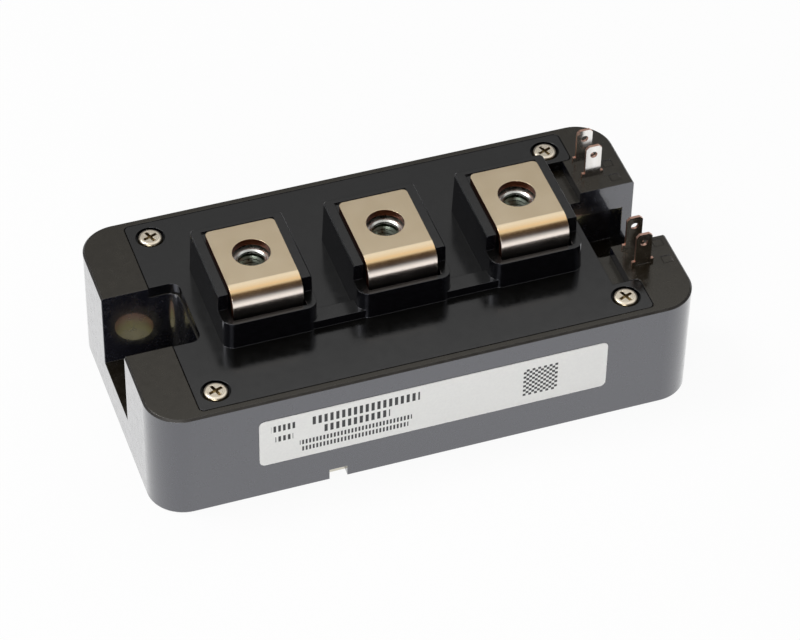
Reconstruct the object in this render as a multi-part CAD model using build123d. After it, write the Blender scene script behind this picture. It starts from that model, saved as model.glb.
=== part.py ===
from build123d import *
import os

os.makedirs("parts", exist_ok=True)

# Millimetres, +Z up. X runs along the 94 mm length with the gate tabs at +X, Y across the 48 mm
# width with the label at -Y. Origin: centre of the mounting face, on the underside of the plate.

# Envelope of the moulded case
CASE_LENGTH = 94.0
CASE_WIDTH = 48.0
CASE_CORNER_R = 6.25
CASE_BOTTOM = 0.2
CASE_TOP = 21.4
EDGE_BREAK = 0.35

# Mounting plate and its two bolts, 80 mm apart
PLATE_T = 3.0
SKIRT_WALL = 1.45
PLATE_FIT = 0.15
BOLT_INSET = 7.0
BOLT_HOLE_R = 3.25
SEAL_T = 0.2

# Mounting notches at both ends, and the steel sleeves in their floors
NOTCH_HALF = 7.0
NOTCH_BACK = 5.9
NOTCH_CORNER_R = 1.8
NOTCH_FLOOR = 6.8
SLEEVE_WALL = 1.3
SLEEVE_DROP = 0.15

# Pocket moulded in the far wall of the right hand notch, placed from the bolt
POCKET_BACK = 3.4
POCKET_FRONT = 5.1
POCKET_TOP = 16.0
POCKET_DEPTH = 2.5

# Space for the power circuit
END_WALL = 3.1
SIDE_WALL = 3.2
CAVITY_CORNER_R = 2.0

# Lid screws
SCREW_INSET = 5.0
SCREW_BACK = 1.1
SCREW_HEAD_R = 2.1
SCREW_HEAD_H = 1.4
SCREW_CROWN_R = 0.6
SCREW_SHANK_R = 1.2
SCREW_LENGTH = 9.0
SCREW_PROUD = 0.15
RECESS_FIT = 0.35
CROSS_WIDTH = 0.55
CROSS_LENGTH = 2.5
CROSS_DEPTH = 0.8
CROSS_TURN = 20

# Lid plate, let into the case: edges placed from the screws
LID_T = 2.0
LID_EDGE = 3.6
LID_LUG = 3.3
LID_TONGUE = 0.1
LID_FIT = 0.12
LID_SETBACK = 0.2
LID_CORNER_R = 0.9
CHANNEL_WIDTH = 3.0

# Three terminal pedestals of the lid at 23 mm pitch, heights above the lid
TERMINAL_INSET = 8.0
PEDESTAL_WALL = 1.95
PEDESTAL_NEAR = -10.4
PEDESTAL_FAR = 9.9
PEDESTAL_H = 8.3
PEDESTAL_DRAFT = 0.25
PEDESTAL_CORNER_R = 0.8
PEDESTAL_FRONT_R = 2.0
RIM_BREAK = 0.2
STEP_WIDTH = 3.8
STEP_DROP = 3.2
LIP_T = 0.75
RIB_WIDTH = 3.0
RIB_H = 1.6

# Bent main terminals; the outer legs have their place and width in shares of the copper below
TAB_WIDTH = 11.9
TAB_T = 1.2
TAB_PROUD = 0.9
TAB_FAR = 7.7
TAB_FRONT = -8.5
TAB_BEND_R = 3.0
TAB_HOLE_R = 3.15
TAB_CORNER_R = 0.9
FOOT_LENGTH = 4.6
LEG_BEND_R = 1.4
LEG_SHELF = 8.2
OUTER_LEG_U = 0.53
OUTER_LEG_WIDTH = 0.4
MIDDLE_LEG_X = -4.4
MIDDLE_LEG_WIDTH = 3.0
SLOT_FIT = 0.25
SLOT_FAR_FIT = 1.15

# M5 nuts under the terminals, and the room for the bolt tips below them
STUD_Y = 0.8
NUT_FLATS = 8.0
NUT_HEIGHT = 4.0
NUT_DROP = 0.45
NUT_FIT = 0.1
THREAD_R = 2.25
THREAD_CHAMFER = 0.6
TIP_R = 2.9
TIP_DEPTH = 6.5
TIP_WALL = 1.4

# Flat gate and sensing tabs, 2.8 x 0.5, heights above the case
GATE_INSET = 6.25
GATE_PITCH = 4.3
GATE_FAR_GAP = 3.8
GATE_NEAR_GAP = 1.0
GATE_WIDTH = 2.8
GATE_T = 0.5
GATE_H = 6.6
GATE_TIP_CHAMFER = 0.55
GATE_HOLE_R = 0.65
GATE_HOLE_DROP = 1.85
SHOULDER_WIDTH = 3.8
SHOULDER_H = 0.8
ARM_Z = 9.0
ARM_H = 1.6
PAD_LENGTH = 2.0
PAD_WIDTH = 1.8
PAD_GAP = 0.2
MARK_SIZE = 1.7
MARK_DEPTH = 0.15
MARKS = ((2.7, -2.3), (2.7, -1.7), (1.9, -0.4), (1.9, -0.3))

# Label and the register notch under it
LABEL_LENGTH = 60.0
LABEL_HEIGHT = 10.0
LABEL_T = 0.1
LABEL_X = 0.4
LABEL_Z = 12.1
LABEL_CORNER_R = 1.0
REGISTER_X = -16.15
REGISTER_WIDTH = 3.1
REGISTER_H = 2.1

# Insulated substrates
SUBSTRATE_GAP = 1.2
SUBSTRATE_MARGIN_X = 0.8
SUBSTRATE_MARGIN_Y = 3.6
SOLDER_T = 0.2
COPPER_T = 0.3
CERAMIC_T = 0.4
COPPER_MARGIN = 0.6

# Dies: places and sizes along u and v in shares of the copper's half length and half width,
# from the middle of each substrate
DIE_T = 0.2
IGBT_U = 0.49
IGBT_V = 0.53
IGBT_SIZE_U = 0.74
IGBT_SIZE_V = 0.63
DIODE_U = (0.56, 0.06)
DIODE_V = -0.054
DIODE_SIZE_U = 0.42
DIODE_SIZE_V = 0.36

# Bond ribbons: the lines of bonds are in the same shares
RIBBON_WIDTH = 0.8
RIBBON_T = 0.2
RIBBON_RISE = 1.3
RIBBON_FLAT = 0.5
RIBBON_LEAN = 1.0
LONG_RIBBONS = (0.4, 0.5, 0.6)
SIDE_RIBBONS = (-0.25, -0.18)
SHORT_RIBBONS = (0.02, 0.14)
IGBT_BOND = 0.54
DIODE_BOND = -0.05
EMITTER_BOND = -0.4

# Thin gate and sensing wires
WIRE_WIDTH = 0.3
WIRE_RISE = 0.6
WIRE_FLAT = 0.3
WIRE_LEAN = 0.6

# Copper strap between the two substrates, just behind the middle leg, ends in the same shares
STRAP_T = 0.8
STRAP_BEND_R = 0.7
STRAP_OUTER = 0.295
STRAP_INNER = 0.095
STRAP_H = 2.8
STRAP_NEAR = -0.58
STRAP_CLEAR = 0.6
STRAP_SPAN = 2.3
STRAP_LAND = 2.2

# Etched copper, edges across the board in the same shares
COLLECTOR_NEAR = -0.29
EMITTER_FAR = -0.34
SENSE_FAR = -0.38
SENSE_NEAR = -0.58

GEL_TOP = 11.5

# Places and heights that follow from the values above
LID_SEAT = CASE_TOP - LID_T
FRAME_SEAT = PLATE_T + SEAL_T
FACE_Y = -CASE_WIDTH / 2
BOLT_X = CASE_LENGTH / 2 - BOLT_INSET
NOTCH_INNER = BOLT_X - NOTCH_BACK
CAVITY_HALF_X = NOTCH_INNER - END_WALL
CAVITY_HALF_Y = CASE_WIDTH / 2 - SIDE_WALL
SCREW_X = NOTCH_INNER + SCREW_BACK
SCREW_Y = CASE_WIDTH / 2 - SCREW_INSET
SCREW_TOP = CASE_TOP + SCREW_PROUD
RECESS_R = SCREW_HEAD_R + RECESS_FIT
LID_HALF_X = SCREW_X + LID_EDGE
LID_HALF_Y = SCREW_Y + LID_EDGE
LID_RIGHT = NOTCH_INNER + LID_TONGUE
LID_LUG_Y = SCREW_Y - LID_LUG
PITCH = CAVITY_HALF_X - TERMINAL_INSET
PEDESTAL_HALF_X = TAB_WIDTH / 2 + PEDESTAL_WALL
PEDESTAL_TOP = CASE_TOP + PEDESTAL_H
STEP_Y = PEDESTAL_NEAR + STEP_WIDTH
STEP_TOP = PEDESTAL_TOP - STEP_DROP
TAB_TOP = PEDESTAL_TOP + TAB_PROUD
TAB_UNDER = TAB_TOP - TAB_T
NUT_TOP = TAB_UNDER - NUT_DROP
NUT_SEAT = NUT_TOP - NUT_HEIGHT
GATE_X = CASE_LENGTH / 2 - GATE_INSET
FAR_ROW = NOTCH_HALF + GATE_FAR_GAP
NEAR_ROW = -NOTCH_HALF - GATE_NEAR_GAP
GATE_ROWS = (FAR_ROW + GATE_PITCH, FAR_ROW, NEAR_ROW, NEAR_ROW - GATE_PITCH)
GATE_TIP = CASE_TOP + GATE_H
GATE_HOLE_Z = GATE_TIP - GATE_HOLE_DROP
PAD_X = CAVITY_HALF_X - PAD_LENGTH
CERAMIC_Z = PLATE_T + SOLDER_T + COPPER_T
COPPER_Z = CERAMIC_Z + CERAMIC_T
DIE_Z = COPPER_Z + COPPER_T
DIE_TOP = DIE_Z + DIE_T
PLATE_HALF_X = CASE_LENGTH / 2 - SKIRT_WALL - PLATE_FIT
PLATE_HALF_Y = CASE_WIDTH / 2 - SKIRT_WALL - PLATE_FIT
PLATE_CORNER_R = CASE_CORNER_R - SKIRT_WALL - PLATE_FIT
SLEEVE_R = BOLT_HOLE_R + SLEEVE_WALL
SUBSTRATE_HALF_X = (CAVITY_HALF_X - SUBSTRATE_GAP / 2 - SUBSTRATE_MARGIN_X) / 2
SUBSTRATE_HALF_Y = CAVITY_HALF_Y - SUBSTRATE_MARGIN_Y
SUBSTRATE_X = SUBSTRATE_GAP / 2 + SUBSTRATE_HALF_X
U = SUBSTRATE_HALF_X - COPPER_MARGIN
V = SUBSTRATE_HALF_Y - COPPER_MARGIN
TERMINALS = (("left", -PITCH), ("middle", 0.0), ("right", PITCH))
SIDES = (("left", -1), ("right", 1))
SCREWS = [(sx * SCREW_X, sy * SCREW_Y) for sx in (-1, 1) for sy in (-1, 1)]


def block(x0, x1, y0, y1, z0, z1):
    """Box between two corners."""
    middle = Pos((x0 + x1) / 2, (y0 + y1) / 2, (z0 + z1) / 2)
    return middle * Box(x1 - x0, y1 - y0, z1 - z0)


def round_block(half_x, half_y, radius, z0, z1):
    """Box about the Z axis with rounded upright edges."""
    outline = RectangleRounded(2 * half_x, 2 * half_y, radius)
    return extrude(Pos(0, 0, z0) * outline, z1 - z0)


def rod(x, y, radius, z0, z1):
    """Upright cylinder."""
    return Pos(x, y, (z0 + z1) / 2) * Cylinder(radius, z1 - z0)


def plan(x0, x1, y0, y1):
    """Flat rectangle between two corners."""
    return Pos((x0 + x1) / 2, (y0 + y1) / 2) * Rectangle(x1 - x0, y1 - y0)


def upright_edges(shape):
    """Edges that run along Z."""
    return shape.edges().filter_by(Axis.Z)


def strip(points, radius, thickness, x0, x1):
    """Bent sheet along a centreline given as (y, z) points, every bend with the same radius."""
    line = Wire.make_polygon(points, close=False)
    for y, z in points[1:-1]:
        corner = [v for v in line.vertices() if abs(v.X - y) < 0.01 and abs(v.Y - z) < 0.01]
        line = line.fillet_2d(radius, corner)
    return extrude(Plane.YZ.offset(x0) * trace(line, thickness), x1 - x0)


def save(name, shape):
    """Write one node, keeping separate bodies separate."""
    export_step(shape, f"parts/{name}.step")
    print(name, round(shape.volume, 2), "mm3")


# Base plate: nickel plated copper, flat, with two bolt holes
plate = round_block(PLATE_HALF_X, PLATE_HALF_Y, PLATE_CORNER_R, 0, PLATE_T)
for side in (-1, 1):
    plate -= rod(side * BOLT_X, 0, BOLT_HOLE_R, 0, PLATE_T)
save("base_plate", plate)

# Sealing bead between plate and case
seal = round_block(PLATE_HALF_X, PLATE_HALF_Y, PLATE_CORNER_R, PLATE_T, FRAME_SEAT)
seal -= round_block(CAVITY_HALF_X, CAVITY_HALF_Y, CAVITY_CORNER_R, PLATE_T, FRAME_SEAT)
for side in (-1, 1):
    seal -= rod(side * BOLT_X, 0, SLEEVE_R, PLATE_T, FRAME_SEAT)
save("seal_bead", seal)

# Steel sleeves that carry the bolt load past the plastic
for name, side in SIDES:
    ring = Circle(SLEEVE_R) - Circle(BOLT_HOLE_R)
    ring = Pos(side * BOLT_X, 0, PLATE_T) * ring
    save(f"sleeve_{name}", extrude(ring, NOTCH_FLOOR - SLEEVE_DROP - PLATE_T))

# Gate tabs: blade, shoulders and arm stamped from one sheet, the pad folded flat inside
half = GATE_WIDTH / 2
blank = plan(GATE_X - half, GATE_X + half, ARM_Z, GATE_TIP)
blank = chamfer([v for v in blank.vertices() if v.Y > GATE_TIP - 0.1], GATE_TIP_CHAMFER)
half = SHOULDER_WIDTH / 2
blank += plan(GATE_X - half, GATE_X + half, CASE_TOP, CASE_TOP + SHOULDER_H)
blank += plan(PAD_X, GATE_X, ARM_Z, ARM_Z + ARM_H)
blank -= Pos(GATE_X, GATE_HOLE_Z) * Circle(GATE_HOLE_R)
gate_tabs = []
for index, row in enumerate(GATE_ROWS):
    near = row - GATE_T / 2
    tab = extrude(Plane.XZ.offset(-near - GATE_T) * blank, GATE_T)
    fold = plan(PAD_X, CAVITY_HALF_X - PAD_GAP, near, near + PAD_WIDTH)
    tab += extrude(Pos(0, 0, ARM_Z) * fold, GATE_T)
    gate_tabs.append(tab)
    save(f"gate_tab_{index + 1}", tab)


def lid_outline(grow):
    """Plan of the lid plate, enlarged all round by grow."""
    x = LID_HALF_X + grow
    y = LID_HALF_Y + grow
    lug = LID_LUG_Y - grow
    inner = NOTCH_INNER - LID_SETBACK - grow
    gap = NOTCH_HALF + LID_SETBACK - grow
    right = LID_RIGHT + grow
    corners = [(-x, -y), (x, -y), (x, -lug), (right, -lug), (right, lug), (x, lug), (x, y)]
    corners += [(-x, y), (-x, gap), (-inner, gap), (-inner, -gap), (-x, -gap)]
    face = make_face(Polyline(*corners, close=True))
    outer = [v for v in face.vertices() if abs(abs(v.Y) - y) < 0.01 or abs(v.X - x) < 0.01]
    face = fillet(outer, LID_CORNER_R)
    notch = [v for v in face.vertices() if abs(v.X + inner) < 0.01]
    return fillet(notch, NOTCH_CORNER_R)


# Case frame: one moulding with skirt, notches, towers and the seat for the lid
over = CASE_TOP + 1
frame = round_block(CASE_LENGTH / 2, CASE_WIDTH / 2, CASE_CORNER_R, CASE_BOTTOM, CASE_TOP)
frame = chamfer(frame.faces().sort_by(Axis.Z)[-1].edges(), EDGE_BREAK)
x = PLATE_HALF_X + PLATE_FIT
y = PLATE_HALF_Y + PLATE_FIT
frame -= round_block(x, y, PLATE_CORNER_R + PLATE_FIT, 0, FRAME_SEAT)
frame -= round_block(CAVITY_HALF_X, CAVITY_HALF_Y, CAVITY_CORNER_R, 0, over)
frame -= extrude(Pos(0, 0, LID_SEAT) * lid_outline(LID_FIT), over - LID_SEAT)
y = LID_LUG_Y + LID_FIT
frame -= block(LID_RIGHT, LID_RIGHT + CHANNEL_WIDTH, -y, y, LID_SEAT, over)
x = LID_HALF_X + LID_FIT
y = NOTCH_HALF + 2 * LID_SETBACK
frame -= block(-x, -CAVITY_HALF_X, -y, y, LID_SEAT, over)
for side in (-1, 1):
    x0, x1 = sorted((side * NOTCH_INNER, side * (CASE_LENGTH / 2 + 2)))
    notch = block(x0, x1, -NOTCH_HALF, NOTCH_HALF, NOTCH_FLOOR, over)
    back = [e for e in upright_edges(notch) if abs(abs(e.center().X) - NOTCH_INNER) < 0.01]
    frame -= fillet(back, NOTCH_CORNER_R)
    frame -= rod(side * BOLT_X, 0, SLEEVE_R, CASE_BOTTOM, NOTCH_FLOOR + 1)
y = NOTCH_HALF + POCKET_DEPTH
frame -= block(BOLT_X - POCKET_BACK, BOLT_X + POCKET_FRONT, 0, y, NOTCH_FLOOR, POCKET_TOP)
for x, y in SCREWS:
    frame -= rod(x, y, SCREW_SHANK_R, LID_SEAT - SCREW_LENGTH, LID_SEAT)
for tab in gate_tabs:
    frame -= tab
for row, (inset, shift) in zip(GATE_ROWS, MARKS):
    mark = Pos(CASE_LENGTH / 2 - inset, row + shift, CASE_TOP)
    frame -= mark * Box(MARK_SIZE, MARK_SIZE, 2 * MARK_DEPTH)
x0 = REGISTER_X - REGISTER_WIDTH / 2
x1 = REGISTER_X + REGISTER_WIDTH / 2
frame -= block(x0, x1, FACE_Y, FACE_Y + SKIRT_WALL + PLATE_FIT, 0, CASE_BOTTOM + REGISTER_H)
save("case_frame", frame)

# Lid: plate, three pedestals with nut pockets, ribs and screw recesses
lid = extrude(Pos(0, 0, LID_SEAT) * lid_outline(0), LID_T)
lean = PEDESTAL_DRAFT * (PEDESTAL_TOP - LID_SEAT) / PEDESTAL_H
for name, x in TERMINALS:
    half = PEDESTAL_HALF_X
    top = plan(x - half, x + half, PEDESTAL_NEAR, PEDESTAL_FAR)
    half += lean
    foot = plan(x - half, x + half, PEDESTAL_NEAR - lean, PEDESTAL_FAR + lean)
    pedestal = loft([Pos(0, 0, LID_SEAT) * foot, Pos(0, 0, PEDESTAL_TOP) * top])
    middle = (LID_SEAT + PEDESTAL_TOP) / 2
    sides = [e for e in pedestal.edges() if abs(e.center().Z - middle) < 0.1]
    pedestal = fillet([e for e in sides if e.center().Y < 0], PEDESTAL_FRONT_R)
    sides = [e for e in pedestal.edges() if abs(e.center().Z - middle) < 0.1 and e.center().Y > 0]
    pedestal = fillet(sides, PEDESTAL_CORNER_R)
    rims = [e for e in pedestal.edges() if e.center().Z > PEDESTAL_TOP - 0.01]
    pedestal = chamfer(rims, RIM_BREAK)
    y = PEDESTAL_NEAR - lean
    pedestal -= block(x - half, x + half, y, STEP_Y, STEP_TOP, PEDESTAL_TOP)
    lid += pedestal
    lid += rod(x, STUD_Y, TIP_R + TIP_WALL, NUT_SEAT - TIP_DEPTH - TIP_WALL, LID_SEAT)
near = PEDESTAL_NEAR
for x in (-PITCH, 0):
    lid += block(x, x + PITCH, near, near + RIB_WIDTH, CASE_TOP, CASE_TOP + RIB_H)
slot_near = PEDESTAL_NEAR + LIP_T
slot_far = TAB_FAR + SLOT_FAR_FIT
slot_inner = TAB_FRONT + TAB_T + SLOT_FIT
bend_end = TAB_FRONT + TAB_BEND_R
for name, x in TERMINALS:
    x0 = x - TAB_WIDTH / 2 - SLOT_FIT
    x1 = x + TAB_WIDTH / 2 + SLOT_FIT
    lid -= block(x0, x1, slot_near, slot_far, TAB_UNDER, PEDESTAL_TOP)
    lid -= block(x0, x1, slot_near, STEP_Y, STEP_TOP, PEDESTAL_TOP)
    lid -= block(x0, x1, slot_near, slot_inner, 0, PEDESTAL_TOP)
    lid -= block(x0, x1, slot_inner, bend_end, TAB_UNDER - TAB_BEND_R, PEDESTAL_TOP)
    hexagon = RegularPolygon(NUT_FLATS / 2 + NUT_FIT, 6, major_radius=False)
    lid -= extrude(Pos(x, STUD_Y, NUT_SEAT) * hexagon, PEDESTAL_TOP - NUT_SEAT)
    lid -= rod(x, STUD_Y, TIP_R, NUT_SEAT - TIP_DEPTH, NUT_SEAT)
for x, y in SCREWS:
    lid -= rod(x, y, RECESS_R, SCREW_TOP - SCREW_HEAD_H, CASE_TOP)
    lid -= rod(x, y, SCREW_SHANK_R, LID_SEAT, SCREW_TOP - SCREW_HEAD_H)
save("lid", lid)

# Main terminals: tinned copper sheet folded over the nut, foot soldered to the substrate
front = TAB_FRONT + TAB_T / 2
head_z = TAB_TOP - TAB_T / 2
foot_z = DIE_Z + TAB_T / 2
split = LID_SEAT - TAB_T
bend = TAB_BEND_R - TAB_T / 2
near_foot = [(front, split), (front, foot_z), (front - FOOT_LENGTH, foot_z)]
turn = front + FOOT_LENGTH
far_foot = [(front, split), (front, LEG_SHELF), (turn, LEG_SHELF), (turn, foot_z)]
far_foot.append((turn + FOOT_LENGTH, foot_z))
outer = SUBSTRATE_X + OUTER_LEG_U * U
legs = {
    "left": (-outer, OUTER_LEG_WIDTH * U, far_foot),
    "middle": (MIDDLE_LEG_X, MIDDLE_LEG_WIDTH, near_foot),
    "right": (outer, OUTER_LEG_WIDTH * U, far_foot),
}
terminals = []
for name, x in TERMINALS:
    half = TAB_WIDTH / 2
    profile = [(TAB_FAR, head_z), (front, head_z), (front, split)]
    head = strip(profile, bend, TAB_T, x - half, x + half)
    far_corners = [e for e in upright_edges(head) if e.center().Y > TAB_FAR - 0.1]
    head = fillet(far_corners, TAB_CORNER_R)
    head -= rod(x, STUD_Y, TAB_HOLE_R, TAB_UNDER, TAB_TOP)
    centre, width, route = legs[name]
    leg = strip(route, LEG_BEND_R, TAB_T, centre - width / 2, centre + width / 2)
    terminals.append(head + leg)
    save(f"terminal_{name}", head + leg)

# Hexagon nuts, free to float in their pockets
for name, x in TERMINALS:
    hexagon = RegularPolygon(NUT_FLATS / 2, 6, major_radius=False) - Circle(THREAD_R)
    nut = extrude(Pos(x, STUD_Y, NUT_SEAT) * hexagon, NUT_HEIGHT)
    nut = chamfer(nut.edges().filter_by(GeomType.CIRCLE), THREAD_CHAMFER)
    save(f"nut_{name}", nut)

# Cross recessed screws that hold the lid
for index, (x, y) in enumerate(SCREWS):
    screw = rod(x, y, SCREW_HEAD_R, SCREW_TOP - SCREW_HEAD_H, SCREW_TOP)
    crown = screw.edges().filter_by(GeomType.CIRCLE).sort_by(Axis.Z)[-1]
    screw = fillet(crown, SCREW_CROWN_R)
    screw += rod(x, y, SCREW_SHANK_R, LID_SEAT - SCREW_LENGTH, SCREW_TOP - SCREW_HEAD_H)
    cross = Rectangle(CROSS_LENGTH, CROSS_WIDTH) + Rectangle(CROSS_WIDTH, CROSS_LENGTH)
    cross = Pos(x, y, SCREW_TOP - CROSS_DEPTH) * Rot(0, 0, CROSS_TURN) * cross
    screw -= extrude(cross, CROSS_DEPTH)
    save(f"lid_screw_{index + 1}", screw)

# Label on the long side
label = RectangleRounded(LABEL_LENGTH, LABEL_HEIGHT, LABEL_CORNER_R)
save("label", extrude(Plane.XZ.offset(-FACE_Y) * Pos(LABEL_X, LABEL_Z) * label, LABEL_T))

# Etched copper seen from above: rectangles (u0, u1, v0, v1) from the middle of each substrate,
# the rectangles of one net joined
FAR_STRIP = (-U, U, V - 1.0, V)
NEAR_STRIP = (-U, U, -V, 0.8 - V)
SENSE_TRACK = [(-U, U - 1.6, 1.4 - V, 2.2 - V), (U - 2.4, U - 1.6, 1.4 - V, SENSE_FAR * V)]
NETS = {
    "left": [
        [(1.2 - U, U, COLLECTOR_NEAR * V, V - 1.8)],
        [(1.2 - U, U, 1.4 - V, EMITTER_FAR * V)],
        [NEAR_STRIP, (-U, 0.6 - U, -V, V), FAR_STRIP],
    ],
    "right": [
        [(-U, U - 1.8, COLLECTOR_NEAR * V, V - 1.8)],
        [(-U, U - 3.0, 2.8 - V, EMITTER_FAR * V)],
        [(U - 1.2, U, V / 4, V - 1.8)],
        [FAR_STRIP],
        [*SENSE_TRACK, (U - 2.4, U, SENSE_NEAR * V, SENSE_FAR * V)],
        [NEAR_STRIP, (U - 1.0, U, -V, SENSE_NEAR * V - 0.8)],
    ],
}


def loop(stops, rise, flat, lean):
    """Centreline of a bond held flat at each stop, given as (position, surface height)."""
    way = 1 if stops[1][0] > stops[0][0] else -1
    points = []
    for index, (at, surface) in enumerate(stops):
        z = surface + RIBBON_T / 2
        if index:
            points.append((at - way * (flat + lean), high))
        points += [(at - way * flat, z), (at + way * flat, z)]
        if index < len(stops) - 1:
            high = max(surface, stops[index + 1][1]) + rise
            points.append((at + way * (flat + lean), high))
    return points


def ribbon(points, plane, at, width):
    """Thin bond along a centreline, its width centred on the plane offset."""
    line = Wire.make_polygon(points, close=False)
    return extrude(plane.offset(at - width / 2) * trace(line, RIBBON_T), width)


def ribbon_loop(*stops):
    """Centreline of one wide bond."""
    return loop(stops, RIBBON_RISE, RIBBON_FLAT, RIBBON_LEAN)


def wire_loop(*stops):
    """Centreline of one thin bond."""
    return loop(stops, WIRE_RISE, WIRE_FLAT, WIRE_LEAN)


on_igbt = (IGBT_BOND * V, DIE_TOP)
on_diode = (DIODE_BOND * V, DIE_TOP)
on_emitter = (EMITTER_BOND * V, DIE_Z)
ROUTES = (
    (LONG_RIBBONS, ribbon_loop(on_igbt, on_diode, on_emitter)),
    (SIDE_RIBBONS, ribbon_loop(on_igbt, on_emitter)),
    (SHORT_RIBBONS, ribbon_loop(on_diode, on_emitter)),
)
inner_pieces = []
for name, side in SIDES:
    cx = side * SUBSTRATE_X
    sheet = Pos(cx, 0, PLATE_T) * Rectangle(2 * U, 2 * V)
    solder = extrude(sheet, SOLDER_T)
    lower = extrude(Pos(0, 0, SOLDER_T) * sheet, COPPER_T)
    sheet = Pos(cx, 0, CERAMIC_Z) * Rectangle(2 * SUBSTRATE_HALF_X, 2 * SUBSTRATE_HALF_Y)
    ceramic = extrude(sheet, CERAMIC_T)
    islands = []
    for net in NETS[name]:
        island = plan(*net[0])
        for rectangle in net[1:]:
            island += plan(*rectangle)
        islands.append(extrude(Pos(cx, 0, COPPER_Z) * island, COPPER_T))
    igbts = []
    for u in (-IGBT_U, IGBT_U):
        die = Pos(cx + u * U, IGBT_V * V, DIE_Z) * Rectangle(IGBT_SIZE_U * U, IGBT_SIZE_V * V)
        igbts.append(extrude(die, DIE_T))
    diodes = []
    for u in DIODE_U:
        die = Rectangle(DIODE_SIZE_U * U, DIODE_SIZE_V * V)
        diodes.append(extrude(Pos(cx - side * u * U, DIODE_V * V, DIE_Z) * die, DIE_T))
    ribbons = []
    for spots, points in ROUTES:
        for u in spots:
            ribbons.append(ribbon(points, Plane.YZ, cx - side * u * U, RIBBON_WIDTH))
    save(f"solder_{name}", solder)
    save(f"lower_copper_{name}", lower)
    save(f"ceramic_{name}", ceramic)
    save(f"upper_copper_{name}", Compound(children=islands))
    save(f"igbt_dies_{name}", Compound(children=igbts))
    save(f"diode_dies_{name}", Compound(children=diodes))
    save(f"bond_ribbons_{name}", Compound(children=ribbons))
    inner_pieces += [solder, lower, ceramic, *islands, *igbts, *diodes, *ribbons]

# Copper strap from the emitter of the right hand arm to the collector of the left hand arm:
# one bent sheet, the near foot kept at the right end and the far foot at the left end
low = DIE_Z + STRAP_T / 2
high = DIE_Z + STRAP_H - STRAP_T / 2
start = STRAP_NEAR * V
rise = TAB_FRONT + TAB_T + STRAP_CLEAR + STRAP_T / 2
fall = rise + STRAP_SPAN
end = fall + STRAP_LAND
profile = [(start, low), (rise, low), (rise, high), (fall, high), (fall, low), (end, low)]
outer = STRAP_OUTER * U
inner = STRAP_INNER * U
strap = strip(profile, STRAP_BEND_R, STRAP_T, -outer, outer)
under = DIE_Z + STRAP_H - STRAP_T
strap -= block(-outer, inner, start, rise + STRAP_T / 2, DIE_Z, under)
strap -= block(-inner, outer, fall - STRAP_T / 2, end, DIE_Z, under)
save("link_strap", strap)

# Thin wires: dies to strips, tab pads to tracks, jumpers between substrates, one sensing wire
wires = []
gate_hop = wire_loop((V - 3.1, DIE_TOP), (V - 0.5, DIE_Z))
for name, side in SIDES:
    for u in (-IGBT_U, IGBT_U):
        wires.append(ribbon(gate_hop, Plane.YZ, side * SUBSTRATE_X + u * U, WIRE_WIDTH))
pad_top = ARM_Z + GATE_T + RIBBON_T / 2
track = DIE_Z + RIBBON_T / 2
edge = SUBSTRATE_X + U
drop = [(edge + 0.6, pad_top), (edge - 0.1, pad_top), (edge - 0.9, pad_top + WIRE_RISE)]
drop += [(edge - 1.6, pad_top - WIRE_RISE), (edge - 1.6, track + WIRE_RISE)]
drop += [(edge - 1.0, track), (edge - 0.4, track)]
for row in GATE_ROWS:
    wires.append(ribbon(drop, Plane.XZ, -(row - GATE_T / 2 + PAD_WIDTH * 0.8), WIRE_WIDTH))
jump = SUBSTRATE_X - U + 0.8
for y in (0.4 - V, 1.8 - V):
    wires.append(ribbon(wire_loop((jump, DIE_Z), (-jump, DIE_Z)), Plane.XZ, -y, WIRE_WIDTH))
die_edge = SUBSTRATE_X + (IGBT_U + IGBT_SIZE_U / 2) * U
sense = wire_loop((edge - 0.7, DIE_Z), (die_edge - 0.8, DIE_TOP))
wires.append(ribbon(sense, Plane.XZ, -IGBT_V * V, WIRE_WIDTH))
save("gate_wires", Compound(children=wires))

# Silicone gel poured over the circuit
gel = round_block(CAVITY_HALF_X, CAVITY_HALF_Y, CAVITY_CORNER_R, PLATE_T, GEL_TOP)
inner_pieces += [strap, *wires, *terminals, *gate_tabs]
gel = gel.cut(*[solid for piece in inner_pieces for solid in piece.solids()])
save("silicone_gel", gel)
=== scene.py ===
# %% [markdown]
# # Power transistor module on a pale floor
#
# The object is a flat black plastic box, 94 mm long, with three folded metal terminals on top,
# four small blades at one end and a white label on the long side. Its solids come ready made from
# the imported frame, so this lesson is about surfaces and light: glossy black plastic shows almost
# nothing of its own colour and is drawn by what it mirrors.
#
# The frame is loaded first. Nothing added here may stick out of it.

# %% Load the frame
import bpy
import math
from mathutils import Matrix, Vector


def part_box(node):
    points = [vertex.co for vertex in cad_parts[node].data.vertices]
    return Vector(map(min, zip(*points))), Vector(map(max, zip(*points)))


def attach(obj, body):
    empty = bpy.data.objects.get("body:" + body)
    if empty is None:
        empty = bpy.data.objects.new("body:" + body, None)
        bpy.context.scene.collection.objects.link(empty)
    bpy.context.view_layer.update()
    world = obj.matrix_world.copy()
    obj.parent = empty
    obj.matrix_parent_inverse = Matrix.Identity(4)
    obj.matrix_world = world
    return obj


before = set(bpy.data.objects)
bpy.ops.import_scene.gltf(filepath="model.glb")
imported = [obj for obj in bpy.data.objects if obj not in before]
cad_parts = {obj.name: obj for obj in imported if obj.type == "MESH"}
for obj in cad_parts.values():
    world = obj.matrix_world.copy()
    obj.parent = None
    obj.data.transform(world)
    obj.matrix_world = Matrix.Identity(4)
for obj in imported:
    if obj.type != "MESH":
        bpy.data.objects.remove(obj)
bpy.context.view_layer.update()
MM = 0.001
print("nodes:", len(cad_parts))

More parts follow.
